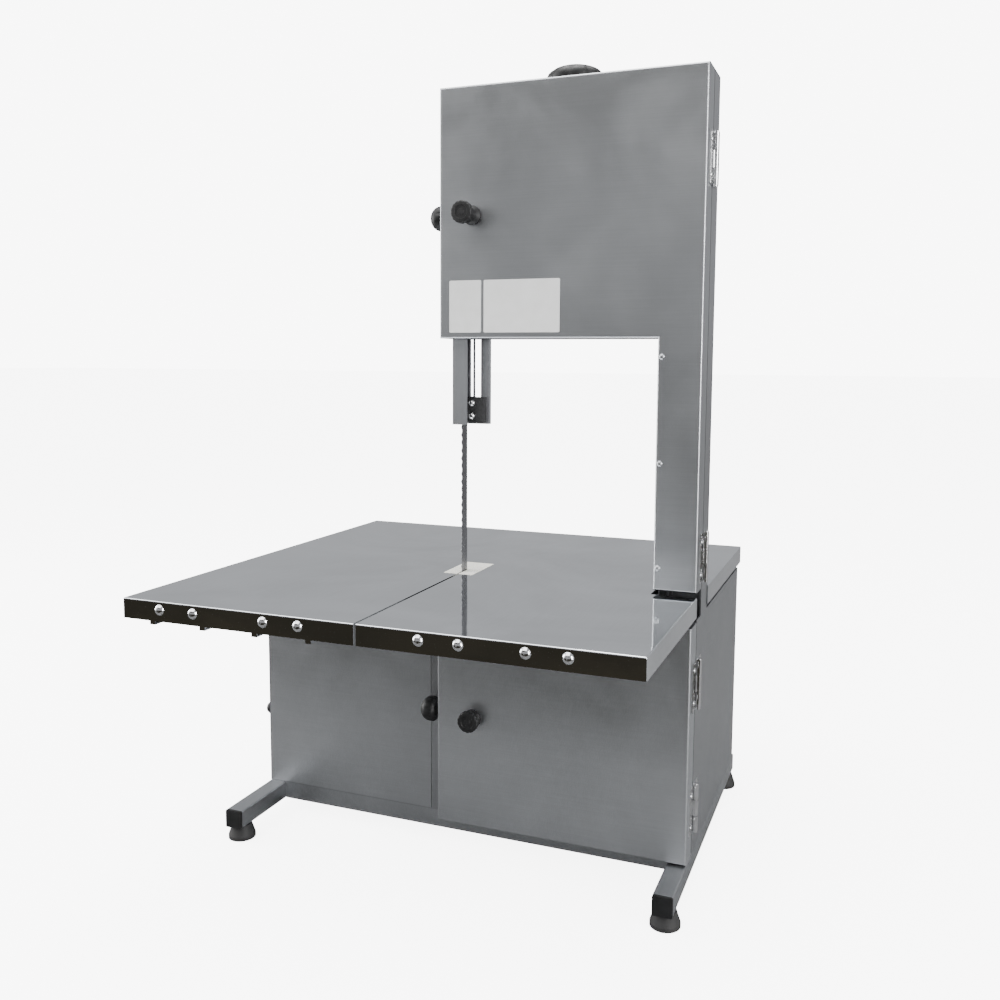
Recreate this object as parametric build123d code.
"""Bench-top bone saw: a vertical band saw with a stainless head, table, cabinet and skid base.

Millimetres, +Z up, the operator stands on the -Y side and the band's teeth face them.
Sizes are set in a working frame: X = 0 at the table's left edge, Y = 0 at its front skirt, Z = 0
under the feet. save() moves each node so that the origin is the bottom centre of the whole saw.
"""
from build123d import *
import os
from math import cos, hypot, pi, radians, sin, sqrt

# ---------------------------------------------------------------- driving dimensions
SHEET = 1.2                 # folded stainless sheet of the head, doors and cabinet
GAP = 0.3                   # running gap between bodies that move past each other
FIT = 0.05                  # radial clearance of a shaft in its hole
TABLE_W = 520.0
TABLE_D = 511.0
TABLE_TOP = 305.5
TABLE_SHEET = 1.5
SKIRT_H = 20.0
FOOT_H = 16.0
FOOT_R = 15.0
TUBE = 20.0                 # square tube of the base
TUBE_WALL = 1.5
SKID_FRONT = 130.5          # front face of the skid's end cap
SKID_REAR = 505.0
CAP_T = 3.0
CABINET_LEFT = 15.0
SIDE_RIGHT = 519.0          # right face shared by cabinet, column and doors
CABINET_FRONT = 218.5
CABINET_REAR = 494.2
CABINET_TOP = 281.5
HEAD_LEFT = 240.5
HEAD_BOTTOM = 560.0
HEAD_TOP = 817.0
HEAD_SEAM = 240.0           # plane where the upper door meets the head
CASE_REAR = 273.0           # rear face of the head and of the lower wheel case
COLUMN_LEFT = 475.0
DOOR_D = 27.0               # depth of both folded doors
COLUMN_DOOR_BOTTOM = 309.5
LOWER_DOOR_LEFT = 247.3
LOWER_DOOR_BOTTOM = 38.0
LOWER_DOOR_TOP = 279.5
WHEEL_R = 115.0
WHEEL_W = 18.0
RIM_T = 7.0
BLADE_X = 257.0             # centre plane of the cutting run
BLADE_W = 16.0
BLADE_T = 0.5
BLADE_REAR = 249.0
TOOTH_PITCH = 8.5
TOOTH_H = 2.2
LOWER_WHEEL_Z = 157.0
UPPER_WHEEL_Z = 686.0
AXLE_R = 10.0
GUIDE_BOTTOM = 468.0
GUIDE_TOP = 735.0
GUIDE_T = 1.5
GUIDE_FRONT_W = 17.0        # guard strip that covers the teeth
GUIDE_W = 33.0
INSERT_W = 34.0
INSERT_D = 63.0
INSERT_FRONT = 224.0
SLOT_W = 2.5
BOLT_X = (43.6, 82.2, 160.6, 198.0, 319.0, 356.6, 417.5, 454.7)
BOLT_Z = 297.0
BOLT_R = 3.0
BOLT_HEAD_R = 5.25
BOLT_HEAD_H = 3.3
HINGE_H = 50.0
HINGE_R = 3.0
HINGE_PIN_R = 1.75
HINGE_LEAF_W = 19.0
HINGE_LEAF_T = 1.5
UPPER_HINGE_Z = (732.0, 342.5)
LOWER_HINGE_Z = (217.5, 88.5)
UPPER_KNOB = (278.0, 686.0)
LOWER_KNOB = (288.0, 158.0)
FRONT_KNOB_R = 11.5
UPPER_KNOB_L = 30.0
UPPER_STUD_END = 228.0
LOWER_KNOB_L = 14.0
LOWER_STUD_END = 211.0
SIDE_KNOB_R = 13.5
SIDE_KNOB_L = 24.0
GUIDE_LOCK = (246.0, 689.0)  # Y, Z of the knob on the head's left face
DOOR_LOCK = (204.5, 158.0)   # Y, Z of the knob on the lower door's left face
STUD_R = 3.0
HANDWHEEL_R = 30.0
HANDWHEEL_H = 21.0
SCREW_R = 5.0
SCREW_Y = 263.0
DRIVEN_R = 50.0
MOTOR_PULLEY_R = 25.0
PULLEY_W = 18.0
PULLEY_FRONT = 322.0
BELT_T = 7.0
BELT_W = 12.0
MOTOR_X = 130.0
MOTOR_Z = 150.0
MOTOR_R = 60.0
MOTOR_SHAFT_R = 7.0
MOTOR_FRONT = 351.0
MOTOR_L = 130.0
PLATE_T = 6.0

# ---------------------------------------------------------------- derived places
BAND_R = WHEEL_R + GAP + BLADE_T / 2
WHEEL_X = BLADE_X + BAND_R
RETURN_X = WHEEL_X + BAND_R
BLADE_FRONT = BLADE_REAR - BLADE_W
WHEEL_FRONT = (BLADE_FRONT + BLADE_REAR) / 2 - WHEEL_W / 2
WHEEL_REAR = WHEEL_FRONT + WHEEL_W
TUBE_TOP = FOOT_H + TUBE
FLOOR_TOP = TUBE_TOP + SHEET
TABLE_UNDER = TABLE_TOP - TABLE_SHEET
SKIRT_BOTTOM = TABLE_TOP - SKIRT_H
HEAD_DOOR_FRONT = HEAD_SEAM - DOOR_D
LOWER_DOOR_FRONT = CABINET_FRONT - DOOR_D + 0.5
CASE_INNER = CASE_REAR - SHEET
CASE_LEFT = LOWER_DOOR_LEFT - GAP
HINGE_X = SIDE_RIGHT + GAP + HINGE_R
ORIGIN_X = (HINGE_X + HINGE_R) / 2
ORIGIN_Y = (TABLE_D - BOLT_HEAD_H) / 2
FRONT_FLANGE_Y = WHEEL_FRONT - 1.5 - GUIDE_T
BACK_FLANGE_Y = WHEEL_REAR + 1.5
GUIDE_LEFT = BLADE_X - GUIDE_FRONT_W / 2
GUIDE_RIGHT = GUIDE_LEFT + GUIDE_W


# ---------------------------------------------------------------- helpers
def block(x0, x1, y0, y1, z0, z1):
    """A box from its low and high corners."""
    return Pos((x0 + x1) / 2, (y0 + y1) / 2, (z0 + z1) / 2) * Box(x1 - x0, y1 - y0, z1 - z0)


def rod_x(x0, x1, y, z, r):
    return Pos((x0 + x1) / 2, y, z) * Rot(0, 90, 0) * Cylinder(r, x1 - x0)


def rod_y(x, y0, y1, z, r):
    return Pos(x, (y0 + y1) / 2, z) * Rot(90, 0, 0) * Cylinder(r, y1 - y0)


def rod_z(x, y, z0, z1, r):
    return Pos(x, y, (z0 + z1) / 2) * Cylinder(r, z1 - z0)


def ring_y(x, y0, y1, z, r_out, r_in):
    return rod_y(x, y0, y1, z, r_out) - rod_y(x, y0 - 1, y1 + 1, z, r_in)


def hex_y(x, y0, y1, z, across, hole_r):
    """A nut with its axis along Y."""
    nut = extrude(Plane(origin=(x, y0, z), z_dir=(0, 1, 0)) * RegularPolygon(across / sqrt(3), 6), y1 - y0)
    return nut - rod_y(x, y0 - 1, y1 + 1, z, hole_r)


def hex_z(x, y, z0, z1, across, hole_r):
    nut = extrude(Plane.XY.offset(z0) * Pos(x, y) * RegularPolygon(across / sqrt(3), 6), z1 - z0)
    return nut - rod_z(x, y, z0 - 1, z1 + 1, hole_r)


def dome(r, h):
    """A domed cap of base radius r and height h, base on XY."""
    ball_r = (r * r + h * h) / (2 * h)
    ball = Pos(0, 0, h - ball_r) * Sphere(ball_r)
    return ball & (Pos(0, 0, h / 2) * Cylinder(r, h))


def turned(points, place):
    """A body turned about its own Z axis from (radius, height) points."""
    return place * revolve(Plane.XZ * make_face(Polyline(*points, close=True)), Axis.Z)


def outline_xz(points, y0, y1):
    """A closed outline in X and Z, extruded from y0 to y1."""
    face = make_face(Polyline(*[(x, y0, z) for x, z in points], close=True))
    return extrude(face, y1 - y0, dir=(0, 1, 0))


def whole(parts):
    """Separate solids kept together as one node."""
    solids = [s for p in parts for s in p.solids()]
    return Compound(children=solids)


def save(name, *parts):
    os.makedirs("parts", exist_ok=True)
    export_step(Pos(-ORIGIN_X, -ORIGIN_Y, 0) * whole(parts), f"parts/{name}.step")


# ---------------------------------------------------------------- base
FOOT_SCREW_HEAD_H = 3.0
FOOT_INSET = 16.0
SKID_X = (CABINET_LEFT + TUBE / 2, SIDE_RIGHT - TUBE / 2)
FEET = [(x, y) for x in SKID_X for y in (SKID_FRONT + FOOT_INSET, SKID_REAR - FOOT_INSET)]
CROSS_Y = (CABINET_FRONT + 1.5, CABINET_REAR - TUBE - 4)


def tube_y(x, y0, y1):
    outer = block(x - TUBE / 2, x + TUBE / 2, y0, y1, FOOT_H, TUBE_TOP)
    wall = TUBE_WALL
    inner = block(x - TUBE / 2 + wall, x + TUBE / 2 - wall, y0 - 1, y1 + 1, FOOT_H + wall, TUBE_TOP - wall)
    return fillet(outer.edges().filter_by(Axis.Y), 1.5) - inner


def skid(x):
    tube = tube_y(x, SKID_FRONT + CAP_T, SKID_REAR - CAP_T)
    for fx, fy in FEET:
        if fx == x:
            tube -= rod_z(fx, fy, FOOT_H - 1, FOOT_H + 4, BOLT_R + FIT)
    return tube


def cross_tube(y):
    x0 = CABINET_LEFT + TUBE
    x1 = SIDE_RIGHT - TUBE
    wall = TUBE_WALL
    outer = block(x0, x1, y, y + TUBE, FOOT_H, TUBE_TOP)
    inner = block(x0 - 1, x1 + 1, y + wall, y + TUBE - wall, FOOT_H + wall, TUBE_TOP - wall)
    return outer - inner


def end_cap(x, y_face, inward):
    plug_w = TUBE - 2 * TUBE_WALL
    face = block(x - TUBE / 2, x + TUBE / 2, min(y_face, y_face + inward * CAP_T),
                 max(y_face, y_face + inward * CAP_T), FOOT_H, TUBE_TOP)
    y_in = y_face + inward * CAP_T
    y_end = y_in + inward * 5
    plug = block(x - plug_w / 2, x + plug_w / 2, min(y_in, y_end), max(y_in, y_end),
                 FOOT_H + TUBE_WALL, TUBE_TOP - TUBE_WALL)
    return fillet(face.edges().filter_by(Axis.Y), 1.5) + plug


def foot(x, y):
    pad = turned([(0, 0), (FOOT_R, 0), (FOOT_R, 4), (FOOT_R - 4, FOOT_H), (0, FOOT_H)], Pos(x, y, 0))
    head = rod_z(x, y, -1, 7, BOLT_R * 2)
    return pad - head - rod_z(x, y, -1, FOOT_H + 1, BOLT_R + FIT)


def foot_screw(x, y):
    return rod_z(x, y, 7 - FOOT_SCREW_HEAD_H, 7, BOLT_R * 2 - 0.5) + rod_z(x, y, 7, FOOT_H + 8, BOLT_R)


def foot_nut(x, y):
    z0 = FOOT_H + TUBE_WALL
    return hex_z(x, y, z0, z0 + 5, 10, BOLT_R)


# ---------------------------------------------------------------- cabinet
FLANGE = 14.0
STRIP_X = 227.5             # seam between the front panel and the wheel case's front flange
SEAM = 0.6
SHAFT_HOLE_R = 30.5
GLAND = (228.5, 121.0)      # Y, Z of the cable gland on the left side
SWITCH_Y = 330.0
SWITCH_Z = 215.0
LOUVRE_ROWS = 5
LOUVRE_X = (70.0, 300.0)
LOUVRE_Z = 110.0
LOUVRE_STEP = 22.0
LOUVRE_L = 120.0
LOUVRE_H = 6.0


def cabinet_floor():
    floor = block(CABINET_LEFT, SIDE_RIGHT, CABINET_FRONT, CABINET_REAR, TUBE_TOP, FLOOR_TOP)
    for x in MOTOR_FOOT_X:
        floor -= rod_z(x, MOTOR_FOOT_Y, TUBE_TOP - 1, FLOOR_TOP + 1, BOLT_R + FIT)
    return floor


def cabinet_left_side():
    x0 = CABINET_LEFT
    wall = block(x0, x0 + SHEET, CABINET_FRONT, CABINET_REAR, FLOOR_TOP, CABINET_TOP)
    flange = block(x0, x0 + FLANGE, CABINET_FRONT + FLANGE + SHEET, CABINET_REAR - FLANGE - SHEET,
                   CABINET_TOP - SHEET, CABINET_TOP)
    wall += flange
    wall -= rod_x(x0 - 1, x0 + 3, *GLAND, GLAND_R)
    back_w, back_h = SWITCH_BACK[:2]
    return wall - block(x0 - 1, x0 + 3, SWITCH_Y - back_w / 2, SWITCH_Y + back_w / 2,
                        SWITCH_Z - back_h / 2, SWITCH_Z + back_h / 2)


def cabinet_front_panel():
    x0 = CABINET_LEFT + SHEET
    wall = block(x0, STRIP_X - SEAM, CABINET_FRONT, CABINET_FRONT + SHEET, FLOOR_TOP, CABINET_TOP)
    flange = block(x0, STRIP_X - SEAM, CABINET_FRONT, CABINET_FRONT + FLANGE,
                   CABINET_TOP - SHEET, CABINET_TOP)
    wall += flange
    for x in FRONT_FIX_X:
        wall -= rod_z(x, FIX_FRONT_Y, CABINET_TOP - 3, CABINET_TOP + 1, BOLT_R + FIT)
    return wall


def cabinet_right_side():
    x1 = SIDE_RIGHT
    wall = block(x1 - SHEET, x1, CABINET_FRONT + GAP, CABINET_REAR, FLOOR_TOP, CABINET_TOP)
    flange = block(x1 - FLANGE, x1, CASE_REAR + 2, CABINET_REAR - FLANGE - SHEET,
                   CABINET_TOP - SHEET, CABINET_TOP)
    return wall + flange


def cabinet_rear_panel():
    y1 = CABINET_REAR
    x0 = CABINET_LEFT + SHEET
    x1 = SIDE_RIGHT - SHEET
    wall = block(x0, x1, y1 - SHEET, y1, FLOOR_TOP, CABINET_TOP)
    wall += block(x0, x1, y1 - FLANGE, y1, CABINET_TOP - SHEET, CABINET_TOP)
    for row in range(LOUVRE_ROWS):
        for x in LOUVRE_X:
            z = LOUVRE_Z + row * LOUVRE_STEP
            wall -= block(x, x + LOUVRE_L, y1 - SHEET - 1, y1 + 1, z, z + LOUVRE_H)
    for x in STIFFENER_X:
        wall -= rod_z(x, FIX_REAR_Y, CABINET_TOP - 3, CABINET_TOP + 1, BOLT_R + FIT)
    return wall


def wheel_case():
    """Lower wheel case: left wall with a front flange, and the partition that carries the shaft."""
    left = block(CASE_LEFT - SHEET, CASE_LEFT, CABINET_FRONT, CASE_REAR, FLOOR_TOP, CABINET_TOP)
    flange = block(STRIP_X, CASE_LEFT, CABINET_FRONT, CABINET_FRONT + SHEET, FLOOR_TOP, CABINET_TOP)
    rear = block(CASE_LEFT, SIDE_RIGHT - SHEET, CASE_INNER, CASE_REAR, FLOOR_TOP, CABINET_TOP)
    case = left + flange + rear
    case -= rod_y(WHEEL_X, CASE_INNER - 1, CASE_REAR + 1, LOWER_WHEEL_Z, SHAFT_HOLE_R)
    for x, z in housing_bolt_places():
        case -= rod_y(x, CASE_INNER - 1, CASE_REAR + 1, z, HOUSING_BOLT_R + FIT)
    for z in SPLICE_LOWER_Z:
        case -= rod_y(SPLICE_X, CASE_INNER - 1, CASE_REAR + 1, z, SPLICE_BOLT_R + FIT)
    return case


GLAND_R = 6.0
GLAND_NUT_R = 7.5
GLAND_OUT = 8.0


def cable_gland():
    """Empty gland: a domed nut outside, a thread through the sheet and a back nut inside."""
    y, z = GLAND
    x0 = CABINET_LEFT
    outside = rod_x(x0 - 4, x0, y, z, GLAND_NUT_R)
    nose = turned([(4, 4), (GLAND_NUT_R - 0.5, 4), (GLAND_NUT_R - 1.5, GLAND_OUT - 1),
                   (5, GLAND_OUT), (4, GLAND_OUT)],
                  Pos(x0, y, z) * Rot(0, -90, 0))
    thread = rod_x(x0, x0 + 10, y, z, GLAND_R - FIT)
    bore = rod_x(x0 - 10, x0 + 11, y, z, 4)
    return outside + nose + thread - bore


def gland_nut():
    y, z = GLAND
    x0 = CABINET_LEFT + SHEET
    nut = extrude(Plane(origin=(x0, y, z), z_dir=(1, 0, 0)) * RegularPolygon(GLAND_NUT_R, 6), 4)
    return nut - rod_x(x0 - 1, x0 + 5, y, z, GLAND_R)


# ---------------------------------------------------------------- switch station on the left side
SWITCH_W = 70.0
SWITCH_H = 110.0
SWITCH_OUT = 6.0
SWITCH_BACK = (50.0, 80.0, 30.0)
BUTTON_STEP = 24.0
BUTTON_R = 9.0
BUTTON_BORE = 8.0
START_TRAVEL = 1.0
STOP_R = 15.0
STOP_CAP_T = 4.0
STOP_TRAVEL = 3.5


def switch_station():
    """Face plate on the cabinet's left side with its back box through the sheet."""
    x0 = CABINET_LEFT
    plate = block(x0 - SWITCH_OUT, x0, SWITCH_Y - SWITCH_W / 2, SWITCH_Y + SWITCH_W / 2,
                  SWITCH_Z - SWITCH_H / 2, SWITCH_Z + SWITCH_H / 2)
    plate = fillet(plate.edges().filter_by(Axis.X), 5)
    plate = fillet(plate.faces().sort_by(Axis.X)[0].edges(), 1.5)
    back_w, back_h, back_l = SWITCH_BACK
    plate += block(x0, x0 + back_l, SWITCH_Y - back_w / 2, SWITCH_Y + back_w / 2,
                   SWITCH_Z - back_h / 2, SWITCH_Z + back_h / 2)
    for z in (SWITCH_Z + BUTTON_STEP, SWITCH_Z - BUTTON_STEP):
        plate -= rod_x(x0 - SWITCH_OUT - 1, x0 - SWITCH_OUT + BUTTON_BORE, SWITCH_Y, z, BUTTON_R + FIT)
    return plate


def start_button():
    x_face = CABINET_LEFT - SWITCH_OUT
    x_back = x_face + BUTTON_BORE - START_TRAVEL - GAP
    cap = rod_x(x_face - START_TRAVEL - 0.5, x_back, SWITCH_Y, SWITCH_Z + BUTTON_STEP, BUTTON_R)
    return fillet(cap.faces().sort_by(Axis.X)[0].edges(), 0.8)


def stop_button():
    x_face = CABINET_LEFT - SWITCH_OUT
    z = SWITCH_Z - BUTTON_STEP
    cap_back = x_face - STOP_TRAVEL - GAP
    stem = rod_x(cap_back - 1, x_face + BUTTON_BORE - STOP_TRAVEL - GAP, SWITCH_Y, z, BUTTON_R)
    cap = rod_x(cap_back - STOP_CAP_T, cap_back, SWITCH_Y, z, STOP_R)
    return stem + fillet(cap.faces().sort_by(Axis.X)[0].edges(), 2)


# ---------------------------------------------------------------- head
NOTCH_X0 = GUIDE_LEFT - 3
NOTCH_X1 = GUIDE_RIGHT + 3
NOTCH_FRONT = FRONT_FLANGE_Y - 3
NOTCH_REAR = BACK_FLANGE_Y + 10
SPLICE_X = (COLUMN_LEFT + SIDE_RIGHT) / 2
SPLICE_W = 39.0
SPLICE_T = 3.0
SPLICE_Z0 = 130.0
SPLICE_Z1 = 430.0
SPLICE_BOLT_R = 4.0
SPLICE_LOWER_Z = (150.0, 255.0)
SPLICE_UPPER_Z = (330.0, 410.0)
RAIL_X = (17.0, 30.0)
RAIL_Z = (640.0, 765.0)


def head_outline(bottom, inset):
    """Outline of the head and column, moved inwards by inset."""
    return [
        (HEAD_LEFT + inset, HEAD_BOTTOM + inset), (COLUMN_LEFT + inset, HEAD_BOTTOM + inset),
        (COLUMN_LEFT + inset, bottom), (SIDE_RIGHT - inset, bottom),
        (SIDE_RIGHT - inset, HEAD_TOP - inset), (HEAD_LEFT + inset, HEAD_TOP - inset)]


def head_body():
    shell = outline_xz(head_outline(CABINET_TOP, 0), HEAD_SEAM, CASE_REAR)
    shell -= outline_xz(head_outline(CABINET_TOP - 1, SHEET), HEAD_SEAM - 1, CASE_INNER)
    shell -= block(NOTCH_X0, NOTCH_X1, HEAD_SEAM - 1, NOTCH_REAR, HEAD_BOTTOM - 1, HEAD_BOTTOM + SHEET + 1)
    shell -= rod_x(HEAD_LEFT - 1, HEAD_LEFT + 3, *GUIDE_LOCK, STUD_R + FIT)
    shell -= rod_z(WHEEL_X, SCREW_Y, HEAD_TOP - 3, HEAD_TOP + 1, SCREW_R + 1)
    for z in SPLICE_UPPER_Z:
        shell -= rod_y(SPLICE_X, CASE_INNER - 1, CASE_REAR + 1, z, SPLICE_BOLT_R + FIT)
    for x, z in RAIL_BOLTS:
        shell -= rod_y(x, CASE_INNER - 1, CASE_REAR + 1, z, BOLT_R + FIT)
    return shell + lock_boss()


def column_splice():
    bar = block(SPLICE_X - SPLICE_W / 2, SPLICE_X + SPLICE_W / 2, CASE_INNER - SPLICE_T, CASE_INNER,
                SPLICE_Z0, SPLICE_Z1)
    for z in SPLICE_LOWER_Z + SPLICE_UPPER_Z:
        bar -= rod_y(SPLICE_X, CASE_INNER - SPLICE_T - 1, CASE_INNER + 1, z, SPLICE_BOLT_R + FIT)
    return bar


def through_bolt(x, z, head_y, shank_end, r, head_r, head_h):
    """Bolt whose domed head sits on the plane head_y, facing +Y, with its shank towards -Y."""
    head = Pos(x, head_y, z) * Rot(-90, 0, 0) * dome(head_r, head_h)
    return head + rod_y(x, shank_end, head_y, z, r)


def splice_bolts():
    return [through_bolt(SPLICE_X, z, CASE_REAR, CASE_INNER - SPLICE_T - 7, SPLICE_BOLT_R, 7, 4.4)
            for z in SPLICE_LOWER_Z + SPLICE_UPPER_Z]


def splice_nuts():
    y1 = CASE_INNER - SPLICE_T
    return [hex_y(SPLICE_X, y1 - 6.5, y1, z, 13, SPLICE_BOLT_R) for z in SPLICE_LOWER_Z + SPLICE_UPPER_Z]


# ---------------------------------------------------------------- blade tension
TONGUE_X = 24.0
TONGUE_Y = (261.0, 266.0)
CARRIAGE_Y = (256.5, 269.5)
CARRIAGE_Z = (UPPER_WHEEL_Z - 25, UPPER_WHEEL_Z + 27)
LUG_Z = (790.0, 802.0)
RAIL_BOLTS = [(WHEEL_X + side * 24, z) for side in (-1, 1) for z in (RAIL_Z[0] + 12, RAIL_Z[1] - 12)]
CARRIAGE_FLANGE_R = 20.0
AXLE_STUB_R = 6.0
AXLE_FRONT = WHEEL_FRONT + 1.5
BEARING_W = 7.0
BEARING_R = 16.0


def tension_rail(side):
    x_in = WHEEL_X + side * RAIL_X[0]
    x_out = WHEEL_X + side * RAIL_X[1]
    groove_out = WHEEL_X + side * (TONGUE_X + GAP)
    past = x_in - side
    rail = block(min(x_in, x_out), max(x_in, x_out), CARRIAGE_Y[0] + 0.5, CASE_INNER, *RAIL_Z)
    rail -= block(min(past, groove_out), max(past, groove_out), TONGUE_Y[0] - GAP, TONGUE_Y[1] + GAP,
                  RAIL_Z[0] - 1, RAIL_Z[1] + 1)
    for x, z in RAIL_BOLTS:
        rail -= rod_y(x, TONGUE_Y[1] + GAP + 1, CASE_INNER + 1, z, BOLT_R)
    return rail


def rail_bolts():
    return [through_bolt(x, z, CASE_REAR, TONGUE_Y[1] + GAP + 1, BOLT_R, BOLT_HEAD_R, BOLT_HEAD_H)
            for x, z in RAIL_BOLTS]


def tension_lug():
    lug = block(WHEEL_X - 14, WHEEL_X + 14, SCREW_Y - 10, CASE_INNER, *LUG_Z)
    return lug - rod_z(WHEEL_X, SCREW_Y, LUG_Z[0] - 1, LUG_Z[1] + 1, SCREW_R + FIT)


def tension_carriage():
    body = block(WHEEL_X - 16, WHEEL_X + 16, *CARRIAGE_Y, *CARRIAGE_Z)
    body += block(WHEEL_X - TONGUE_X, WHEEL_X + TONGUE_X, *TONGUE_Y, *CARRIAGE_Z)
    return body - rod_z(WHEEL_X, SCREW_Y, CARRIAGE_Z[0] + 4, CARRIAGE_Z[1] + 1, SCREW_R + FIT)


def upper_axle():
    flange = rod_y(WHEEL_X, WHEEL_REAR + 2, CARRIAGE_Y[0], UPPER_WHEEL_Z, CARRIAGE_FLANGE_R)
    shaft = rod_y(WHEEL_X, AXLE_FRONT, WHEEL_REAR + 2, UPPER_WHEEL_Z, AXLE_R)
    stub = rod_y(WHEEL_X, AXLE_FRONT - 8, AXLE_FRONT, UPPER_WHEEL_Z, AXLE_STUB_R)
    return flange + shaft + stub


def upper_bearings():
    gap = (WHEEL_REAR - AXLE_FRONT - 2 * BEARING_W) / 3
    first = AXLE_FRONT + gap
    second = first + BEARING_W + gap
    return [ring_y(WHEEL_X, y, y + BEARING_W, UPPER_WHEEL_Z, BEARING_R, AXLE_R) for y in (first, second)]


def axle_nut(z):
    washer = ring_y(WHEEL_X, AXLE_FRONT - 2, AXLE_FRONT, z, 13, AXLE_STUB_R)
    return washer + hex_y(WHEEL_X, AXLE_FRONT - 8, AXLE_FRONT - 2, z, 19, AXLE_STUB_R)


def band_wheel(z, bore_r):
    """Cast wheel: rim, thin web with round holes, and hub."""
    rim = ring_y(WHEEL_X, WHEEL_FRONT, WHEEL_REAR, z, WHEEL_R, WHEEL_R - RIM_T)
    web_y = (WHEEL_FRONT + WHEEL_REAR) / 2
    web = rod_y(WHEEL_X, web_y - 2.5, web_y + 2.5, z, WHEEL_R - RIM_T + 1)
    hub = rod_y(WHEEL_X, AXLE_FRONT + 0.5, WHEEL_REAR + 1, z, HUB_R)
    wheel = rim + web + hub
    for i in range(HOLES):
        a = radians(360 / HOLES * i + 90)
        x = WHEEL_X + HOLE_RING_R * cos(a)
        wheel -= rod_y(x, web_y - 5, web_y + 5, z + HOLE_RING_R * sin(a), HOLE_R)
    return wheel - rod_y(WHEEL_X, WHEEL_FRONT - 5, WHEEL_REAR + 5, z, bore_r)


HUB_R = 27.0
HOLES = 5
HOLE_RING_R = 68.0
HOLE_R = 22.0


def tension_screw():
    screw = rod_z(WHEEL_X, SCREW_Y, CARRIAGE_Z[0] + 6, HEAD_TOP + 4, SCREW_R)
    collar = rod_z(WHEEL_X, SCREW_Y, LUG_Z[0] - 8, LUG_Z[0] - GAP, SCREW_R + 3)
    return screw + collar


def tension_handwheel():
    """Mushroom handwheel on top of the head."""
    h = HANDWHEEL_H
    r = HANDWHEEL_R
    base = HEAD_TOP + GAP + 0.5
    profile = Plane.XZ * make_face(
        Line((0, 0), (12, 0)) + Line((12, 0), (12, 3)) + Line((12, 3), (r - 2, 3))
        + Line((r - 2, 3), (r, 5.5)) + Line((r, 5.5), (r, 8))
        + Spline((r, 8), (r * 0.72, h * 0.83), (r * 0.35, h * 0.97), (0, h),
                 tangents=[(0, 1), (-1, 0)])
        + Line((0, h), (0, 0)))
    wheel = Pos(WHEEL_X, SCREW_Y, base) * revolve(profile, Axis.Z)
    return wheel - rod_z(WHEEL_X, SCREW_Y, base - 1, HEAD_TOP + 4, SCREW_R)


# ---------------------------------------------------------------- band
def band_face(r):
    """Racetrack between the two wheels, as a face on the XZ plane."""
    z0 = LOWER_WHEEL_Z
    z1 = UPPER_WHEEL_Z
    low = ThreePointArc((WHEEL_X - r, 0, z0), (WHEEL_X, 0, z0 - r), (WHEEL_X + r, 0, z0))
    high = ThreePointArc((WHEEL_X + r, 0, z1), (WHEEL_X, 0, z1 + r), (WHEEL_X - r, 0, z1))
    right = Line((WHEEL_X + r, 0, z0), (WHEEL_X + r, 0, z1))
    left = Line((WHEEL_X - r, 0, z1), (WHEEL_X - r, 0, z0))
    return make_face(low + right + high + left)


def band_length():
    return 2 * (UPPER_WHEEL_Z - LOWER_WHEEL_Z) + 2 * pi * BAND_R


def saw_band():
    outer = extrude(band_face(BAND_R + BLADE_T / 2), BLADE_W, dir=(0, 1, 0))
    inner = extrude(band_face(BAND_R - BLADE_T / 2), BLADE_W, dir=(0, 1, 0))
    band = Pos(0, BLADE_FRONT, 0) * (outer - inner)
    count = int((UPPER_WHEEL_Z - LOWER_WHEEL_Z) / TOOTH_PITCH)
    edge = [(BLADE_FRONT - 1, LOWER_WHEEL_Z)]
    for i in range(count):
        z = LOWER_WHEEL_Z + (i + 0.5) * TOOTH_PITCH
        edge += [(BLADE_FRONT, z), (BLADE_FRONT + TOOTH_H, z + TOOTH_PITCH * 0.25),
                 (BLADE_FRONT, z + TOOTH_PITCH * 0.92)]
    edge.append((BLADE_FRONT - 1, UPPER_WHEEL_Z))
    teeth = make_face(Polyline(*[(0, y, z) for y, z in edge], close=True))
    gullets = extrude(teeth, 2 * BAND_R + 4, dir=(1, 0, 0))
    return band - Pos(WHEEL_X - BAND_R - 2, 0, 0) * gullets


# ---------------------------------------------------------------- blade guide
GUIDE_SLOT_X = 268.5
GUIDE_SLOT_W = 7.0
GUIDE_NARROW_X = 261.5
GUIDE_NARROW_W = 3.0
GUIDE_SLOT_Z = (499.0, 728.0)
GUIDE_LIP = 5.0
GUIDE_BLOCK_Z = (470.0, 497.5)
GUIDE_BOLTS_Z = (477.0, 491.0)
GUIDE_BOLT_X = 265.0
BRACKET_Z = (578.0, 608.0)
STUD_Z = (585.0, 601.0)


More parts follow.
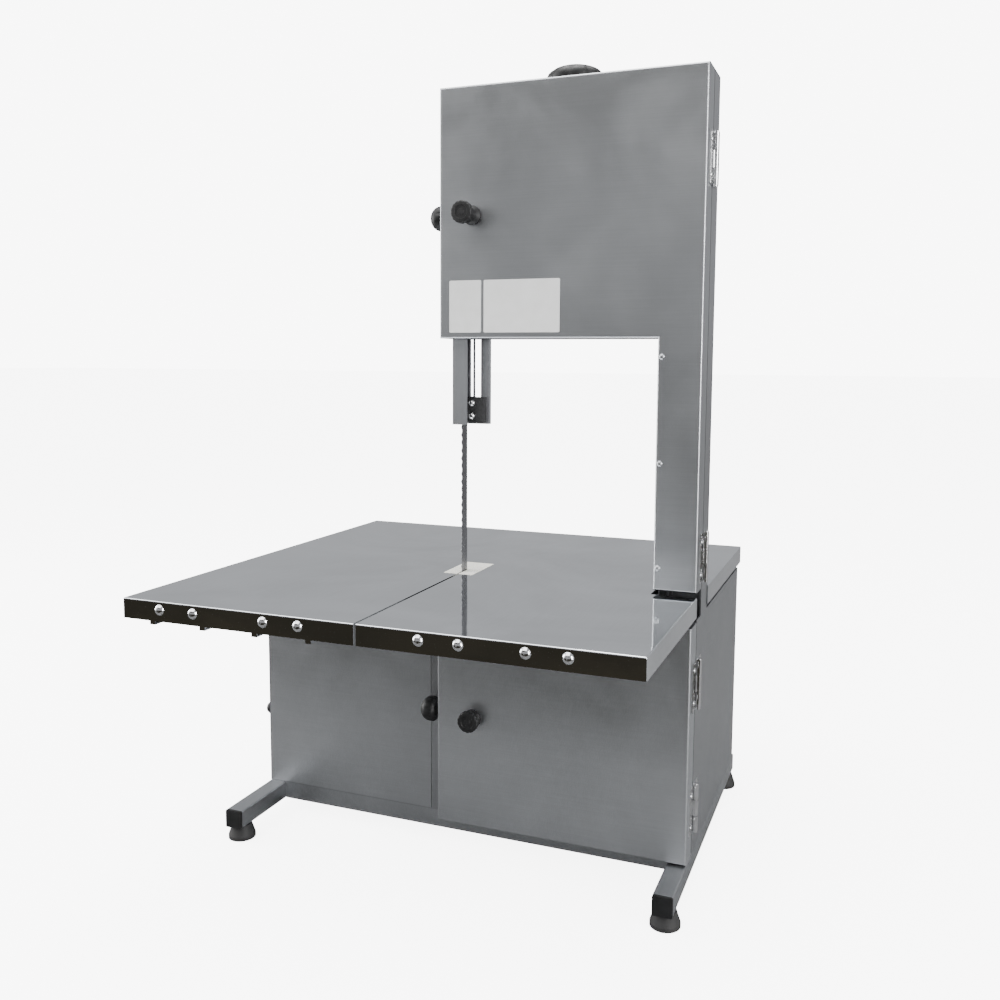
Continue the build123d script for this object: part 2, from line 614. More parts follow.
def guide_channel():
    """Sheet channel, C-shaped in plan: front guard strip, left web, slotted back flange with a lip."""
    t = GUIDE_T
    z = (GUIDE_BOTTOM, GUIDE_TOP)
    front = block(GUIDE_LEFT, GUIDE_LEFT + GUIDE_FRONT_W, FRONT_FLANGE_Y, FRONT_FLANGE_Y + t, *z)
    web = block(GUIDE_LEFT, GUIDE_LEFT + t, FRONT_FLANGE_Y, BACK_FLANGE_Y + t, *z)
    back = block(GUIDE_LEFT, GUIDE_RIGHT, BACK_FLANGE_Y, BACK_FLANGE_Y + t, *z)
    lip = block(GUIDE_RIGHT - t, GUIDE_RIGHT, BACK_FLANGE_Y, BACK_FLANGE_Y + t + GUIDE_LIP, *z)
    channel = front + web + back + lip
    for x, w in ((GUIDE_SLOT_X, GUIDE_SLOT_W), (GUIDE_NARROW_X, GUIDE_NARROW_W)):
        y = (BACK_FLANGE_Y - 1, BACK_FLANGE_Y + t + 1)
        channel -= block(x - w / 2, x + w / 2, *y, *GUIDE_SLOT_Z)
        channel -= rod_y(x, *y, GUIDE_SLOT_Z[0], w / 2)
        channel -= rod_y(x, *y, GUIDE_SLOT_Z[1], w / 2)
    for z_bolt in GUIDE_BOLTS_Z:
        channel -= rod_y(GUIDE_BOLT_X, BACK_FLANGE_Y - 1, BACK_FLANGE_Y + t + 1, z_bolt, 2 + FIT)
    return channel


def upper_guide_block():
    """Block that backs and flanks the band just above the cut."""
    side = GAP + BLADE_T / 2
    body = block(BLADE_X - 5, GUIDE_RIGHT - GUIDE_T - 1, BLADE_FRONT + 9, BACK_FLANGE_Y, *GUIDE_BLOCK_Z)
    body -= block(BLADE_X - side, BLADE_X + side, BLADE_FRONT, BLADE_REAR + GAP,
                  GUIDE_BLOCK_Z[0] - 1, GUIDE_BLOCK_Z[1] + 1)
    for z in GUIDE_BOLTS_Z:
        body -= rod_y(GUIDE_BOLT_X, BLADE_FRONT, BACK_FLANGE_Y + 1, z, 2)
    return body


def guide_block_bolts():
    y_head = BLADE_FRONT + 9
    bolts = []
    for z in GUIDE_BOLTS_Z:
        head = Pos(GUIDE_BOLT_X, y_head, z) * Rot(90, 0, 0) * dome(3.8, 2.6)
        bolts.append(head + rod_y(GUIDE_BOLT_X, y_head, BACK_FLANGE_Y + GUIDE_T + 4, z, 2))
    return bolts


def guide_block_nuts():
    y0 = BACK_FLANGE_Y + GUIDE_T
    return [hex_y(GUIDE_BOLT_X, y0, y0 + 3.2, z, 7, 2) for z in GUIDE_BOLTS_Z]


def guide_bracket():
    y0 = BACK_FLANGE_Y + GUIDE_T + GAP
    bracket = block(GUIDE_SLOT_X - 9, GUIDE_SLOT_X + 9, y0, CASE_INNER, *BRACKET_Z)
    for z in STUD_Z:
        bracket -= rod_y(GUIDE_SLOT_X, y0 - 1, y0 + 9, z, STUD_R)
    return bracket


def guide_studs():
    y0 = BACK_FLANGE_Y - GAP
    y1 = BACK_FLANGE_Y + GUIDE_T + GAP + 9
    return [rod_y(GUIDE_SLOT_X, y0, y1, z, STUD_R) + rod_y(GUIDE_SLOT_X, y0 - 3, y0, z, 6) for z in STUD_Z]


SHOE_X = (245.0, GUIDE_LEFT - GAP)
SHOE_Z = (571.0, 700.0)


def guide_clamp_shoe():
    shoe = block(*SHOE_X, GUIDE_LOCK[0] - 5, GUIDE_LOCK[0] + 5, *SHOE_Z)
    return shoe - rod_x(SHOE_X[0] - 1, SHOE_X[0] + 1.5, *GUIDE_LOCK, STUD_R + FIT)


def lock_boss():
    x0 = HEAD_LEFT + SHEET
    boss = rod_x(x0, x0 + 2.8, *GUIDE_LOCK, 5.5)
    return boss - rod_x(x0 - 1, x0 + 4, *GUIDE_LOCK, STUD_R + FIT)


def side_knob(x_face, y, z, stud_end):
    """Domed clamp knob facing -X, with its threaded stud towards +X."""
    r = SIDE_KNOB_R
    length = SIDE_KNOB_L
    profile = Plane.XZ * make_face(
        Line((0, 0), (r * 0.5, 0)) + Line((r * 0.5, 0), (r * 0.5, 4)) + Line((r * 0.5, 4), (r - 1, 6))
        + Line((r - 1, 6), (r, 8)) + Line((r, 8), (r, 13))
        + Spline((r, 13), (r * 0.7, length * 0.9), (0, length), tangents=[(0, 1), (-1, 0)])
        + Line((0, length), (0, 0)))
    knob = Pos(x_face, y, z) * Rot(0, -90, 0) * revolve(profile, Axis.Z)
    return knob, rod_x(x_face, stud_end, y, z, STUD_R)


# ---------------------------------------------------------------- table
NOTCH = (COLUMN_LEFT - 1.5, HEAD_DOOR_FRONT - 1.5, CASE_REAR + 1.5)
STIFFENER_W = 64.0
STIFFENER_T = 1.5
STIFFENER_RELIEF = 16.0       # depth of the front cut that keeps the web out of sight behind the skirt
STIFFENER_LIP = 6.0           # corner left beside the cut on the two left channels
STIFFENER_X = [(BOLT_X[i] + BOLT_X[i + 1]) / 2 for i in range(0, len(BOLT_X), 2)]
FRONT_FIX_X = STIFFENER_X[:2]
FIX_FRONT_Y = CABINET_FRONT + FLANGE / 2 + 1
FIX_REAR_Y = CABINET_REAR - FLANGE / 2 - 1
SEAT_LIP = 8.0
SEAT_T = 1.5
INSERT_T = 4.0
INSERT_PROUD = 0.2
SEAT_BOTTOM = TABLE_TOP + INSERT_PROUD - INSERT_T - SEAT_T


def table_top():
    top = block(0, TABLE_W, 0, TABLE_D, SKIRT_BOTTOM, TABLE_TOP)
    t = TABLE_SHEET
    top = fillet(top.edges().filter_by(Axis.Z) + top.faces().sort_by(Axis.Z)[-1].edges(), 1.2)
    top -= block(t, TABLE_W - t, t, TABLE_D - t, SKIRT_BOTTOM - 1, TABLE_UNDER)
    top -= block(NOTCH[0], TABLE_W + 1, NOTCH[1], NOTCH[2], SKIRT_BOTTOM - 1, TABLE_TOP + 1)
    top -= block(BLADE_X - SLOT_W / 2, BLADE_X + SLOT_W / 2, -1, INSERT_FRONT + 1,
                 SKIRT_BOTTOM - 1, TABLE_TOP + 1)
    top -= block(BLADE_X - INSERT_W / 2 - GAP, BLADE_X + INSERT_W / 2 + GAP, INSERT_FRONT - GAP,
                 INSERT_FRONT + INSERT_D + GAP, TABLE_UNDER - 1, TABLE_TOP + 1)
    for x in BOLT_X:
        top -= rod_y(x, -1, t + 1, BOLT_Z, BOLT_R + FIT)
    return top


def insert_seat():
    """Frame under the table that carries the cutting insert."""
    half = INSERT_W / 2
    y0 = INSERT_FRONT
    y1 = INSERT_FRONT + INSERT_D
    frame = block(BLADE_X - half - SEAT_LIP, BLADE_X + half + SEAT_LIP, y0 - SEAT_LIP, y1 + SEAT_LIP,
                  SEAT_BOTTOM, TABLE_UNDER)
    frame -= block(BLADE_X - half - GAP, BLADE_X + half + GAP, y0 - GAP, y1 + GAP,
                   SEAT_BOTTOM + SEAT_T, TABLE_UNDER + 1)
    frame -= block(BLADE_X - half + 5, BLADE_X + half - 5, y0 + 5, y1 - 5, SEAT_BOTTOM - 1, TABLE_UNDER)
    return frame - block(BLADE_X - SLOT_W / 2, BLADE_X + SLOT_W / 2, y0 - SEAT_LIP - 1, y0 + 6,
                         SEAT_BOTTOM - 1, TABLE_UNDER + 1)


def table_insert():
    half = INSERT_W / 2
    z0 = SEAT_BOTTOM + SEAT_T
    plate = block(BLADE_X - half, BLADE_X + half, INSERT_FRONT, INSERT_FRONT + INSERT_D, z0, z0 + INSERT_T)
    return plate - block(BLADE_X - SLOT_W / 2, BLADE_X + SLOT_W / 2, INSERT_FRONT - 1, BLADE_REAR + 2,
                         z0 - 1, z0 + INSERT_T + 1)


def table_stiffener(i):
    """Channel under the table, open upwards, bolted to the front skirt."""
    x = STIFFENER_X[i]
    t = STIFFENER_T
    x0 = x - STIFFENER_W / 2
    x1 = x + STIFFENER_W / 2
    y0 = TABLE_SHEET
    y1 = TABLE_D - TABLE_SHEET
    channel = block(x0, x1, y0, y1, CABINET_TOP, TABLE_UNDER)
    channel -= block(x0 + t, x1 - t, y0 + t, y1 + 1, CABINET_TOP + t, TABLE_UNDER + 1)
    lip = STIFFENER_LIP if x < BLADE_X else -1
    channel -= block(x0 + lip, x1 - lip, y0 - 1, y0 + STIFFENER_RELIEF, CABINET_TOP - 1, SKIRT_BOTTOM + 0.5)
    for bolt_x in BOLT_X[2 * i:2 * i + 2]:
        channel -= rod_y(bolt_x, y0 - 1, y0 + t + 1, BOLT_Z, BOLT_R + FIT)
    for place_x, place_y in fixing_places():
        channel -= rod_z(place_x, place_y, CABINET_TOP - 1, CABINET_TOP + t + 1, BOLT_R + FIT)
    return channel


def fixing_places():
    return [(x, FIX_FRONT_Y) for x in FRONT_FIX_X] + [(x, FIX_REAR_Y) for x in STIFFENER_X]


def table_bolts():
    bolts = []
    for x in BOLT_X:
        head = Pos(x, 0, BOLT_Z) * Rot(90, 0, 0) * dome(BOLT_HEAD_R, BOLT_HEAD_H)
        bolts.append(head + rod_y(x, 0, 12, BOLT_Z, BOLT_R))
    return bolts


def table_nuts():
    y0 = TABLE_SHEET + STIFFENER_T
    return [hex_y(x, y0, y0 + 5, BOLT_Z, 10, BOLT_R) for x in BOLT_X]


def fixing_bolts():
    z0 = CABINET_TOP + STIFFENER_T
    return [Pos(x, y, z0) * dome(BOLT_HEAD_R, BOLT_HEAD_H) + rod_z(x, y, z0 - 14, z0, BOLT_R)
            for x, y in fixing_places()]


def fixing_nuts():
    z1 = CABINET_TOP - SHEET
    return [hex_z(x, y, z1 - 5, z1, 10, BOLT_R) for x, y in fixing_places()]


# ---------------------------------------------------------------- lower drive
HOUSING_R = 30.0
HOUSING_FLANGE_R = 45.0
HOUSING_FLANGE_T = 8.0
HOUSING_Y = (255.0, 312.0)
HOUSING_BOLT_R = 3.0
HOUSING_BOLT_RING = 37.0
LOWER_BEARING_R = 23.5
LOWER_BEARING_W = 14.0
SHAFT_REAR = PULLEY_FRONT + PULLEY_W + 4


def housing_bolt_places():
    return [(WHEEL_X + HOUSING_BOLT_RING * cos(radians(45 + 90 * i)),
             LOWER_WHEEL_Z + HOUSING_BOLT_RING * sin(radians(45 + 90 * i))) for i in range(4)]


def bearing_housing():
    z = LOWER_WHEEL_Z
    housing = rod_y(WHEEL_X, *HOUSING_Y, z, HOUSING_R)
    housing += rod_y(WHEEL_X, CASE_REAR, CASE_REAR + HOUSING_FLANGE_T, z, HOUSING_FLANGE_R)
    housing -= rod_y(WHEEL_X, HOUSING_Y[0] - 1, HOUSING_Y[1] + 1, z, LOWER_BEARING_R)
    for bx, bz in housing_bolt_places():
        housing -= rod_y(bx, CASE_REAR - 1, CASE_REAR + HOUSING_FLANGE_T + 1, bz, HOUSING_BOLT_R + FIT)
    return housing


def housing_bolts():
    return [Pos(x, CASE_INNER, z) * Rot(90, 0, 0) * dome(5, 3)
            + rod_y(x, CASE_INNER, CASE_REAR + HOUSING_FLANGE_T + 6, z, HOUSING_BOLT_R)
            for x, z in housing_bolt_places()]


def housing_nuts():
    y0 = CASE_REAR + HOUSING_FLANGE_T
    return [hex_y(x, y0, y0 + 5, z, 10, HOUSING_BOLT_R) for x, z in housing_bolt_places()]


def lower_bearings():
    places = (HOUSING_Y[0] + 2, HOUSING_Y[1] - 2 - LOWER_BEARING_W)
    return [ring_y(WHEEL_X, y, y + LOWER_BEARING_W, LOWER_WHEEL_Z, LOWER_BEARING_R, AXLE_R) for y in places]


def lower_shaft():
    shaft = rod_y(WHEEL_X, AXLE_FRONT, SHAFT_REAR, LOWER_WHEEL_Z, AXLE_R - FIT)
    return shaft + rod_y(WHEEL_X, AXLE_FRONT - 8, AXLE_FRONT, LOWER_WHEEL_Z, AXLE_STUB_R)


def grooved_pulley(x, z, groove_r, bore_r):
    y0 = PULLEY_FRONT
    y1 = PULLEY_FRONT + PULLEY_W
    side = (PULLEY_W - BELT_W) / 2 - 0.5
    pulley = rod_y(x, y0, y1, z, groove_r)
    pulley += rod_y(x, y0, y0 + side, z, groove_r + BELT_T + 1)
    pulley += rod_y(x, y1 - side, y1, z, groove_r + BELT_T + 1)
    return pulley - rod_y(x, y0 - 1, y1 + 1, z, bore_r)


def belt_face(r_big, r_small):
    """Outline of an open belt round the two pulleys, on the XZ plane."""
    dx = WHEEL_X - MOTOR_X
    dz = LOWER_WHEEL_Z - MOTOR_Z
    span = hypot(dx, dz)
    ux = dx / span
    uz = dz / span
    k = (r_small - r_big) / span
    s = sqrt(1 - k * k)

    def on(cx, cz, r, side):
        """Tangent point on a circle, side +1 above and -1 below the line of centres."""
        return (cx + r * (k * ux - side * s * uz), 0, cz + r * (k * uz + side * s * ux))

    big_top = on(WHEEL_X, LOWER_WHEEL_Z, r_big, 1)
    big_low = on(WHEEL_X, LOWER_WHEEL_Z, r_big, -1)
    small_top = on(MOTOR_X, MOTOR_Z, r_small, 1)
    small_low = on(MOTOR_X, MOTOR_Z, r_small, -1)
    far_big = (WHEEL_X + r_big * ux, 0, LOWER_WHEEL_Z + r_big * uz)
    far_small = (MOTOR_X - r_small * ux, 0, MOTOR_Z - r_small * uz)
    return make_face(Line(small_top, big_top) + ThreePointArc(big_top, far_big, big_low)
                     + Line(big_low, small_low) + ThreePointArc(small_low, far_small, small_top))


def drive_belt():
    inner_gap = GAP
    outer = extrude(belt_face(DRIVEN_R + inner_gap + BELT_T, MOTOR_PULLEY_R + inner_gap + BELT_T),
                    BELT_W, dir=(0, 1, 0))
    inner = extrude(belt_face(DRIVEN_R + inner_gap, MOTOR_PULLEY_R + inner_gap), BELT_W, dir=(0, 1, 0))
    return Pos(0, PULLEY_FRONT + (PULLEY_W - BELT_W) / 2, 0) * (outer - inner)


# ---------------------------------------------------------------- motor
PLATE_W = 140.0
PLATE_TOP = 225.0
PLATE_FOOT = 40.0
MOTOR_FOOT_Y = MOTOR_FRONT + PLATE_FOOT / 2
MOTOR_FOOT_X = (MOTOR_X - 50, MOTOR_X + 50)
MOTOR_BOLT_RING = 50.0
MOTOR_BOLT_R = 3.0
SPIGOT_R = 35.0
FAN_COVER_L = 28.0
FIN_COUNT = 28
FIN_H = 4.0


def motor_bolt_places():
    return [(MOTOR_X + MOTOR_BOLT_RING * cos(radians(45 + 90 * i)),
             MOTOR_Z + MOTOR_BOLT_RING * sin(radians(45 + 90 * i))) for i in range(4)]


def motor_plate():
    y0 = MOTOR_FRONT - PLATE_T
    plate = block(MOTOR_X - PLATE_W / 2, MOTOR_X + PLATE_W / 2, y0, MOTOR_FRONT, FLOOR_TOP, PLATE_TOP)
    plate += block(MOTOR_X - PLATE_W / 2, MOTOR_X + PLATE_W / 2, y0, MOTOR_FRONT + PLATE_FOOT,
                   FLOOR_TOP, FLOOR_TOP + PLATE_T)
    plate -= rod_y(MOTOR_X, y0 - 1, MOTOR_FRONT + 1, MOTOR_Z, SPIGOT_R)
    for x, z in motor_bolt_places():
        plate -= rod_y(x, y0 - 1, MOTOR_FRONT + 1, z, MOTOR_BOLT_R + FIT)
    for x in MOTOR_FOOT_X:
        plate -= rod_z(x, MOTOR_FOOT_Y, FLOOR_TOP - 1, FLOOR_TOP + PLATE_T + 1, BOLT_R + FIT)
    return plate


def motor_plate_bolts():
    z0 = FLOOR_TOP + PLATE_T
    return [Pos(x, MOTOR_FOOT_Y, z0) * dome(BOLT_HEAD_R, BOLT_HEAD_H)
            + rod_z(x, MOTOR_FOOT_Y, z0 - 14, z0, BOLT_R)
            for x in MOTOR_FOOT_X]


def motor_plate_nuts():
    return [hex_z(x, MOTOR_FOOT_Y, TUBE_TOP - 5, TUBE_TOP, 10, BOLT_R) for x in MOTOR_FOOT_X]


def motor():
    """Face-mounted motor with cooling fins and a fan cover."""
    y0 = MOTOR_FRONT
    y1 = y0 + MOTOR_L - FAN_COVER_L
    body = rod_y(MOTOR_X, y0, y1, MOTOR_Z, MOTOR_R - FIN_H)
    for i in range(FIN_COUNT):
        a = 360 / FIN_COUNT * i
        fin = block(-1, 1, y0 + 10, y1 - 2, MOTOR_R - FIN_H - 1, MOTOR_R)
        body += Pos(MOTOR_X, 0, MOTOR_Z) * Rot(0, a, 0) * fin
    body -= rod_y(MOTOR_X, y0 - 1, y0 + 12, MOTOR_Z, MOTOR_SHAFT_R + FIT)
    for x, z in motor_bolt_places():
        body -= rod_y(x, y0 - 1, y0 + 9, z, MOTOR_BOLT_R)
    return body


def fan_cover():
    y0 = MOTOR_FRONT + MOTOR_L - FAN_COVER_L
    cover = rod_y(MOTOR_X, y0, y0 + FAN_COVER_L, MOTOR_Z, MOTOR_R)
    cover -= rod_y(MOTOR_X, y0 - 1, y0 + FAN_COVER_L - 1.5, MOTOR_Z, MOTOR_R - 1.5)
    for ring_r, n in ((16, 8), (28, 12), (40, 18)):
        for i in range(n):
            a = radians(360 / n * i)
            cover -= rod_y(MOTOR_X + ring_r * cos(a), y0 + FAN_COVER_L - 3, y0 + FAN_COVER_L + 1,
                           MOTOR_Z + ring_r * sin(a), 3)
    return cover


def terminal_box():
    z0 = MOTOR_Z + MOTOR_R
    box = block(MOTOR_X - 28, MOTOR_X + 28, MOTOR_FRONT + 28, MOTOR_FRONT + 84, z0, z0 + 28)
    return fillet(box.edges().filter_by(Axis.Z), 4)


def motor_bolts():
    y0 = MOTOR_FRONT - PLATE_T
    return [Pos(x, y0, z) * Rot(90, 0, 0) * dome(5, 3) + rod_y(x, y0, y0 + PLATE_T + 8, z, MOTOR_BOLT_R)
            for x, z in motor_bolt_places()]


# ---------------------------------------------------------------- lower guide, scrapers, tray, catches
LOWER_GUIDE_Z = (262.0, 278.0)
SCRAPER_Z = (228.0, 240.0)
TRAY_X = (LOWER_DOOR_LEFT + 2.5, 284.0)
TRAY_Y = (221.5, 268.0)
TRAY_H = 36.0
TRAY_T = 1.5
CATCH_T = 3.0
CATCH_W = 20.0
CATCH_REACH = 14.0            # from the stud's axis to the free end of the arm


def lower_guide_bracket():
    y0 = BLADE_REAR + 3
    bar = block(BLADE_X - 8, BLADE_X + 8, y0 + 8, CASE_INNER, *LOWER_GUIDE_Z)
    return bar


def lower_guide_block():
    side = GAP + BLADE_T / 2
    y0 = BLADE_FRONT + 7
    body = block(BLADE_X - 8, BLADE_X + 8, y0, BLADE_REAR + 11, *LOWER_GUIDE_Z)
    return body - block(BLADE_X - side, BLADE_X + side, y0 - 1, BLADE_REAR + GAP,
                        LOWER_GUIDE_Z[0] - 1, LOWER_GUIDE_Z[1] + 1)


def blade_scraper(side):
    near = BLADE_X + side * (BLADE_T / 2 + GAP)
    far = near + side * 5
    return block(min(near, far), max(near, far), BLADE_FRONT + 4, CASE_INNER, *SCRAPER_Z)


def scrap_tray():
    z1 = FLOOR_TOP + TRAY_H
    tray = block(*TRAY_X, *TRAY_Y, FLOOR_TOP, z1)
    return tray - block(TRAY_X[0] + TRAY_T, TRAY_X[1] - TRAY_T, TRAY_Y[0] + TRAY_T, TRAY_Y[1] - TRAY_T,
                        FLOOR_TOP + TRAY_T, z1 + 1)


def door_catch(x_wall, x_leg, y_arm, y_seam, y_foot, knob, foot_z):
    """Bracket on the left wall with a hole that takes the door knob's stud."""
    x, z = knob
    low = min(z - CATCH_W / 2, foot_z)
    high = max(z + CATCH_W / 2, foot_z + CATCH_W)
    arm = block(x_leg, x + CATCH_REACH, y_arm, y_arm + CATCH_T, z - CATCH_W / 2, z + CATCH_W / 2)
    leg = block(x_leg, x_leg + 2, y_arm, y_seam - 1, low, high)
    leg += block(x_leg, x_leg + 2, y_seam - 1, y_foot[0] + 2, foot_z, foot_z + CATCH_W)
    foot_pad = block(x_wall, x_leg + 2, *y_foot, foot_z, foot_z + CATCH_W)
    return arm + leg + foot_pad - rod_y(x, y_arm - 1, y_arm + CATCH_T + 1, z, STUD_R + 1)


def upper_catch():
    wall = HEAD_LEFT + SHEET
    foot_y = (HEAD_SEAM + 1, HEAD_SEAM + 15)
    arm_y = UPPER_STUD_END - CATCH_T - 3
    return door_catch(wall, wall + GAP, arm_y, HEAD_SEAM, foot_y, UPPER_KNOB, UPPER_KNOB[1] + 22)


def lower_catch():
    wall = CASE_LEFT
    leg_x = LOWER_DOOR_LEFT + SHEET + GAP
    foot_y = (CABINET_FRONT + SHEET + 1, CABINET_FRONT + 18)
    arm_y = LOWER_STUD_END - CATCH_T - 3
    return door_catch(wall, leg_x, arm_y, CABINET_FRONT, foot_y, LOWER_KNOB, LOWER_KNOB[1] + 14)


# ---------------------------------------------------------------- doors
SCREW_X = 479.3
SCREW_Z = (541.7, 436.8, 332.0)
SMALL_SCREW_R = 1.5
STRIP_BAR = (COLUMN_LEFT + SHEET + 0.2, COLUMN_LEFT + SHEET + 9)


def upper_door_shell():
    front = HEAD_DOOR_FRONT
    rear = HEAD_SEAM - GAP
    outer = outline_xz(head_outline(COLUMN_DOOR_BOTTOM, 0), front, rear)
    inner = outline_xz(
        [(x, z + (SHEET if z == COLUMN_DOOR_BOTTOM else 0))
         for x, z in head_outline(COLUMN_DOOR_BOTTOM, SHEET)],
        front + SHEET, rear + 1)
    door = fillet(outer.edges().filter_by(Axis.Y), 1.0) - inner
    door -= block(NOTCH_X0, NOTCH_X1, NOTCH_FRONT, rear + 1, HEAD_BOTTOM - 1, HEAD_BOTTOM + SHEET + 1)
    door -= block(RETURN_X - 5, RETURN_X + 5, BLADE_FRONT - 4, rear + 1,
                  COLUMN_DOOR_BOTTOM - 1, COLUMN_DOOR_BOTTOM + SHEET + 1)
    door -= rod_y(UPPER_KNOB[0], front - 1, front + 3, UPPER_KNOB[1], STUD_R + FIT)
    for z in SCREW_Z:
        door -= rod_y(SCREW_X, front - 1, front + 3, z, SMALL_SCREW_R)
    return door


def lower_door_shell():
    front = LOWER_DOOR_FRONT
    rear = CABINET_FRONT - GAP
    door = block(LOWER_DOOR_LEFT, SIDE_RIGHT, front, rear, LOWER_DOOR_BOTTOM, LOWER_DOOR_TOP)
    door = fillet(door.edges().filter_by(Axis.Y), 1.0)
    door -= block(LOWER_DOOR_LEFT + SHEET, SIDE_RIGHT - SHEET, front + SHEET, rear + 1,
                  LOWER_DOOR_BOTTOM + SHEET, LOWER_DOOR_TOP - SHEET)
    door -= rod_y(LOWER_KNOB[0], front - 1, front + 3, LOWER_KNOB[1], STUD_R + FIT)
    return door - rod_x(LOWER_DOOR_LEFT - 1, LOWER_DOOR_LEFT + 3, *DOOR_LOCK, STUD_R + FIT)


def guard_strip():
    y0 = HEAD_DOOR_FRONT + SHEET
    strip = block(*STRIP_BAR, y0, y0 + 3, SCREW_Z[2] - 12, SCREW_Z[0] + 12)
    for z in SCREW_Z:
        strip -= rod_y(SCREW_X, y0 - 1, y0 + 4, z, SMALL_SCREW_R)
    return strip


def column_screws():
    y0 = HEAD_DOOR_FRONT
    return [Pos(SCREW_X, y0, z) * Rot(90, 0, 0) * dome(3.2, 2.0)
            + rod_y(SCREW_X, y0, y0 + SHEET + 3, z, SMALL_SCREW_R) for z in SCREW_Z]


def front_knob(x, z, y_face, length, stud_end):
    """Round knob facing -Y on a narrower neck, with its stud through the door."""
    r = FRONT_KNOB_R
    profile = Plane.XZ * make_face(
        Line((0, 0), (r * 0.85, 0)) + Line((r * 0.85, 0), (r * 0.85, 2)) + Line((r * 0.85, 2), (r * 0.6, 4))
        + Line((r * 0.6, 4), (r * 0.6, length - 9)) + Line((r * 0.6, length - 9), (r, length - 6))
        + Line((r, length - 6), (r, length - 1.5)) + Line((r, length - 1.5), (r - 1.5, length))
        + Line((r - 1.5, length), (0, length)) + Line((0, length), (0, 0)))
    knob = Pos(x, y_face, z) * Rot(90, 0, 0) * revolve(profile, Axis.Z)
    return knob, rod_y(x, y_face, stud_end, z, STUD_R)


# ---------------------------------------------------------------- hinges
def hinge_knuckle(y, z, part, bore_r):
    """One third of a hinge barrel: part -1 low, 0 middle, 1 high."""
    third = HINGE_H / 3
    low = z - HINGE_H / 2 + (part + 1) * third
    trim = GAP / 2
    z0 = low + (trim if part >= 0 else 0)
    z1 = low + third - (trim if part <= 0 else 0)
    tongue = block(SIDE_RIGHT, SIDE_RIGHT + HINGE_LEAF_T, y - HINGE_R - 1, y, z0, z1)
    if part != 0:
        tongue = block(SIDE_RIGHT, SIDE_RIGHT + HINGE_LEAF_T, y, y + HINGE_R + 1, z0, z1)
    return rod_z(HINGE_X, y, z0, z1, HINGE_R) + tongue - rod_z(HINGE_X, y, z0 - 1, z1 + 1, bore_r)


def leaf_plate(y0, y1, z, screw_y):
    plate = block(SIDE_RIGHT, SIDE_RIGHT + HINGE_LEAF_T, y0, y1, z - HINGE_H / 2, z + HINGE_H / 2)
    for dz in (-HINGE_H / 3, HINGE_H / 3):
        plate -= rod_x(SIDE_RIGHT - 1, SIDE_RIGHT + 3, screw_y, z + dz, SMALL_SCREW_R)
    return plate


def fixed_leaf(y, z):
    leaf = leaf_plate(y + HINGE_R + GAP, y + HINGE_LEAF_W, z, y + HINGE_LEAF_W - 7)
    return leaf + hinge_knuckle(y, z, -1, HINGE_PIN_R) + hinge_knuckle(y, z, 1, HINGE_PIN_R)


def moving_leaf(y, z):
    leaf = leaf_plate(y - HINGE_LEAF_W, y - HINGE_R - GAP, z, y - HINGE_LEAF_W + 7)
    return leaf + hinge_knuckle(y, z, 0, HINGE_PIN_R + FIT)


def hinge_pin(y, z):
    pin = rod_z(HINGE_X, y, z - HINGE_H / 2 - 1, z + HINGE_H / 2 + 1, HINGE_PIN_R)
    for sign in (-1, 1):
        end = z + sign * HINGE_H / 2
        pin += rod_z(HINGE_X, y, min(end, end + sign), max(end, end + sign), HINGE_PIN_R + 0.8)
    return pin


def leaf_screws(screw_y, z):
    x0 = SIDE_RIGHT + HINGE_LEAF_T
    screws = []
    for dz in (-HINGE_H / 3, HINGE_H / 3):
        head = Pos(x0, screw_y, z + dz) * Rot(0, 90, 0) * dome(2.8, 1.6)
        screws.append(head + rod_x(SIDE_RIGHT, x0, screw_y, z + dz, SMALL_SCREW_R))
    return screws


# ---------------------------------------------------------------- write every node
def write_base():
    save("base_skids", *[skid(x) for x in SKID_X])
    save("base_cross_tubes", *[cross_tube(y) for y in CROSS_Y])
    save("skid_end_caps", *[end_cap(x, y, d) for x in SKID_X for y, d in ((SKID_FRONT, 1), (SKID_REAR, -1))])
    save("rubber_feet", *[foot(*place) for place in FEET])
    save("foot_fixings", *[foot_screw(*place) for place in FEET], *[foot_nut(*place) for place in FEET])


def write_cabinet():
    save("cabinet_floor", cabinet_floor())
    save("cabinet_left_side", cabinet_left_side())
    save("cabinet_front_panel", cabinet_front_panel())
    save("cabinet_right_side", cabinet_right_side())
    save("cabinet_rear_panel", cabinet_rear_panel())
    save("wheel_case", wheel_case())
    save("cable_gland", cable_gland(), gland_nut())
    save("switch_station", switch_station())
    save("start_button", start_button())
    save("stop_button", stop_button())


def write_head():
    save("head_body", head_body())
    save("column_splice", column_splice())
    save("case_fixings", *splice_bolts(), *splice_nuts(), *rail_bolts(), *housing_bolts(), *housing_nuts(),
         *motor_bolts(), *motor_plate_bolts(), *motor_plate_nuts())
    save("tension_frame", tension_rail(-1), tension_rail(1), tension_lug())
    save("tension_carriage", tension_carriage())
    save("upper_axle", upper_axle(), axle_nut(UPPER_WHEEL_Z))
    save("upper_bearings", *upper_bearings())
    save("upper_wheel", band_wheel(UPPER_WHEEL_Z, BEARING_R + FIT))
    save("tension_screw", tension_screw())
    save("tension_handwheel", tension_handwheel())


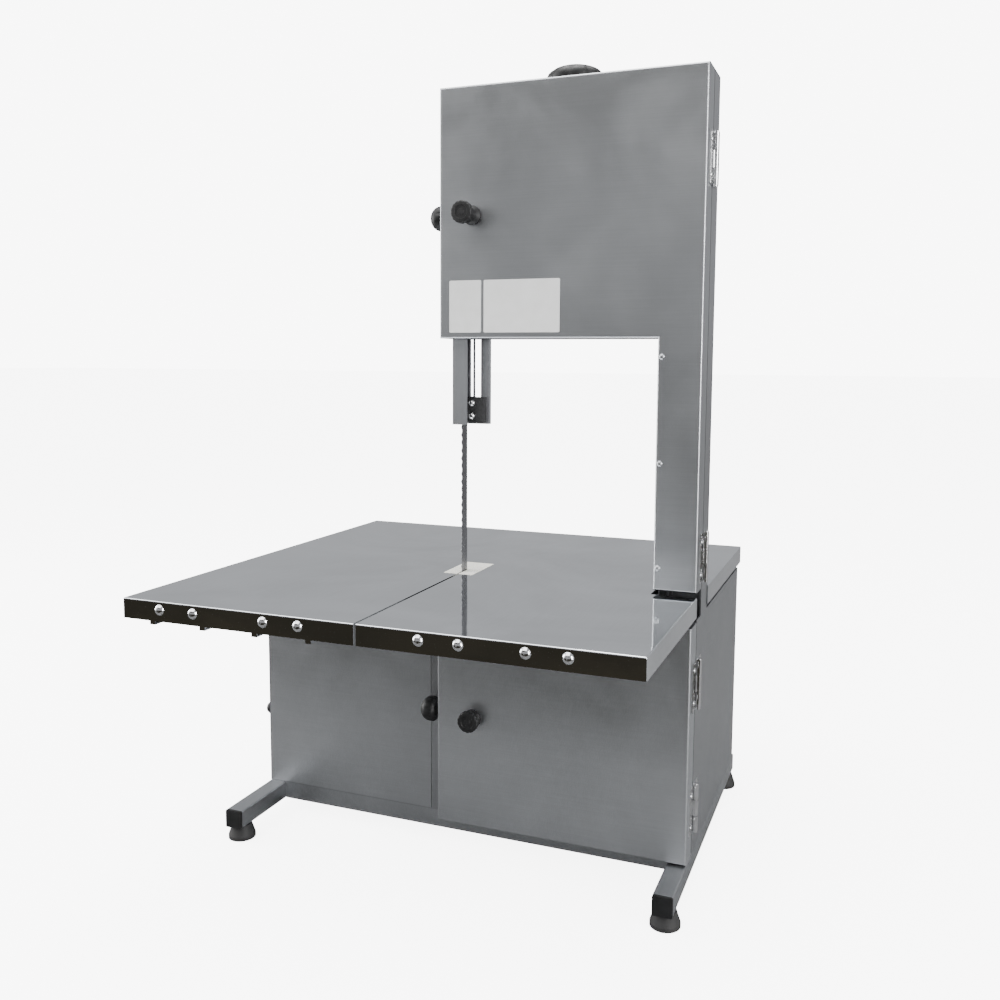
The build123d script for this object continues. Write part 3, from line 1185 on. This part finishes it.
def write_band_and_guides():
    save("saw_band", saw_band())
    save("guide_channel", guide_channel())
    save("upper_guide_block", upper_guide_block())
    save("guide_block_fixings", *guide_block_bolts(), *guide_block_nuts())
    save("guide_bracket", guide_bracket(), *guide_studs(), guide_clamp_shoe())
    save("guide_lock_knob", *side_knob(HEAD_LEFT - GAP, *GUIDE_LOCK, SHOE_X[0] + 1))
    save("lower_blade_guide", lower_guide_bracket(), lower_guide_block(), blade_scraper(-1), blade_scraper(1))


def write_table():
    save("table_top", table_top())
    save("table_insert", table_insert())
    save("insert_seat", insert_seat())
    save("table_stiffeners", *[table_stiffener(i) for i in range(len(STIFFENER_X))])
    save("table_fixings", *table_bolts(), *table_nuts(), *fixing_bolts(), *fixing_nuts())


def write_drive():
    save("bearing_housing", bearing_housing())
    save("lower_bearings", *lower_bearings())
    save("lower_shaft", lower_shaft(), axle_nut(LOWER_WHEEL_Z))
    save("lower_wheel", band_wheel(LOWER_WHEEL_Z, AXLE_R - FIT))
    save("driven_pulley", grooved_pulley(WHEEL_X, LOWER_WHEEL_Z, DRIVEN_R, AXLE_R - FIT))
    save("drive_belt", drive_belt())
    save("motor_plate", motor_plate())
    save("motor", motor(), terminal_box())
    save("motor_fan_cover", fan_cover())
    save("motor_shaft", rod_y(MOTOR_X, PULLEY_FRONT - 4, MOTOR_FRONT + 11, MOTOR_Z, MOTOR_SHAFT_R))
    save("motor_pulley", grooved_pulley(MOTOR_X, MOTOR_Z, MOTOR_PULLEY_R, MOTOR_SHAFT_R))


def write_doors():
    save("upper_door_panel", upper_door_shell())
    save("column_guard_strip", guard_strip(), *column_screws())
    save("upper_door_knob", *front_knob(*UPPER_KNOB, HEAD_DOOR_FRONT - GAP, UPPER_KNOB_L, UPPER_STUD_END))
    save("lower_door_panel", lower_door_shell())
    save("lower_door_knob", *front_knob(*LOWER_KNOB, LOWER_DOOR_FRONT - GAP, LOWER_KNOB_L, LOWER_STUD_END))
    save("door_lock_knob", *side_knob(LOWER_DOOR_LEFT - GAP, *DOOR_LOCK, LOWER_DOOR_LEFT + SHEET + 0.1))
    save("door_catches", upper_catch(), lower_catch())
    save("scrap_tray", scrap_tray())


def write_hinges():
    upper = [(HEAD_SEAM, z) for z in UPPER_HINGE_Z]
    lower = [(CABINET_FRONT, z) for z in LOWER_HINGE_Z]
    fixed = []
    for y, z in upper + lower:
        fixed += [fixed_leaf(y, z), *leaf_screws(y + HINGE_LEAF_W - 7, z)]
    save("hinge_fixed_leaves", *fixed)
    save("hinge_pins", *[hinge_pin(y, z) for y, z in upper + lower])
    for name, group in (("upper_door_leaves", upper), ("lower_door_leaves", lower)):
        moving = []
        for y, z in group:
            moving += [moving_leaf(y, z), *leaf_screws(y - HINGE_LEAF_W + 7, z)]
        save(name, *moving)


def main():
    write_base()
    write_cabinet()
    write_head()
    write_band_and_guides()
    write_table()
    write_drive()
    write_doors()
    write_hinges()
    print("band length", round(band_length(), 1))


if __name__ == "__main__":
    main()
